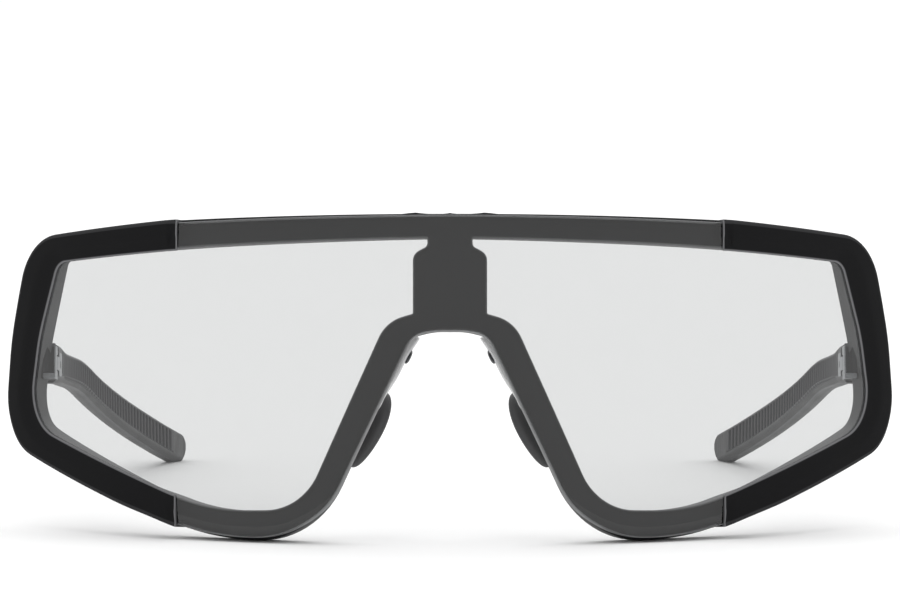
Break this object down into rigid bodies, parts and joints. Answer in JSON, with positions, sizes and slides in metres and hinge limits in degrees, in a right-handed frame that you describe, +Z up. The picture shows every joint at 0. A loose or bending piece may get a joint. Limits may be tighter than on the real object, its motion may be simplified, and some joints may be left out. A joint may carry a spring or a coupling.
{
  "type": "wraparound sport sunglasses",
  "caption": "Wraparound sport sunglasses: a tall clear shield lens on a dark chassis, matte wrap covers at the ends, folding ribbed temples and rocking nose pads.",
  "frame": {"origin": "middle of the bounding box's underside, on the surface that the open glasses stand on", "axes": "+X towards the wearer's left, +Y from the lens to the temple tips, +Z up"},
  "size_m": [0.143, 0.1516, 0.0507],
  "materials": {
    "chassis_plastic": "satin injection-moulded nylon, dark grey-black",
    "clear_lens": "clear polycarbonate with a faint grey tint, polished",
    "cover_plastic": "fine matte moulded plastic",
    "temple_plastic": "satin moulded nylon, dark grey",
    "grip_rubber": "matte ribbed rubber",
    "pad_rubber": "matte soft rubber",
    "arm_nylon": "light grey moulded nylon",
    "hinge_steel": "satin blasted steel",
    "dark_steel": "blackened steel screws and pins"
  },
  "bodies": {
    "front": {"chassis": "chassis_plastic", "shield_lens": "clear_lens", "side_cover_left": "cover_plastic", "side_cover_right": "cover_plastic", "cover_screw_upper_left": "dark_steel", "cover_screw_upper_right": "dark_steel", "cover_screw_lower_left": "dark_steel", "cover_screw_lower_right": "dark_steel", "hinge_screw_left": "dark_steel", "hinge_screw_right": "dark_steel", "nose_arm_left": "arm_nylon", "nose_arm_right": "arm_nylon", "nose_arm_screw_left": "dark_steel", "nose_arm_screw_right": "dark_steel", "nose_pad_pin_left": "dark_steel", "nose_pad_pin_right": "dark_steel"},
    "temple_left": {"temple_left": "temple_plastic", "temple_grip_left": "grip_rubber", "hinge_tang_left": "hinge_steel", "tang_rivet_left": "dark_steel"},
    "nose_pad_left": {"nose_pad_left": "pad_rubber", "nose_pad_core_left": "arm_nylon"},
    "temple_right": {"temple_right": "temple_plastic", "temple_grip_right": "grip_rubber", "hinge_tang_right": "hinge_steel", "tang_rivet_right": "dark_steel"},
    "nose_pad_right": {"nose_pad_right": "pad_rubber", "nose_pad_core_right": "arm_nylon"}
  },
  "joints": [
    {"name": "temple_fold_left", "type": "hinge", "parent": "front", "child": "temple_left", "pos_m": [0.0654, -0.03768, 0.02553], "axis": [0, 0.1132, 0.9936], "range_deg": [0, 90]},
    {"name": "temple_fold_right", "type": "hinge", "parent": "front", "child": "temple_right", "pos_m": [-0.0654, -0.03768, 0.02553], "axis": [0, -0.1132, -0.9936], "range_deg": [0, 82]},
    {"name": "nose_pad_rock_left", "type": "hinge", "parent": "front", "child": "nose_pad_left", "pos_m": [0.01472, -0.06227, 0.01756], "axis": [0.4255, 0.8997, 0.0972], "range_deg": [-8, 8]},
    {"name": "nose_pad_rock_right", "type": "hinge", "parent": "front", "child": "nose_pad_right", "pos_m": [-0.01472, -0.06227, 0.01756], "axis": [0.4255, -0.8997, -0.0972], "range_deg": [-8, 8]}
  ]
}
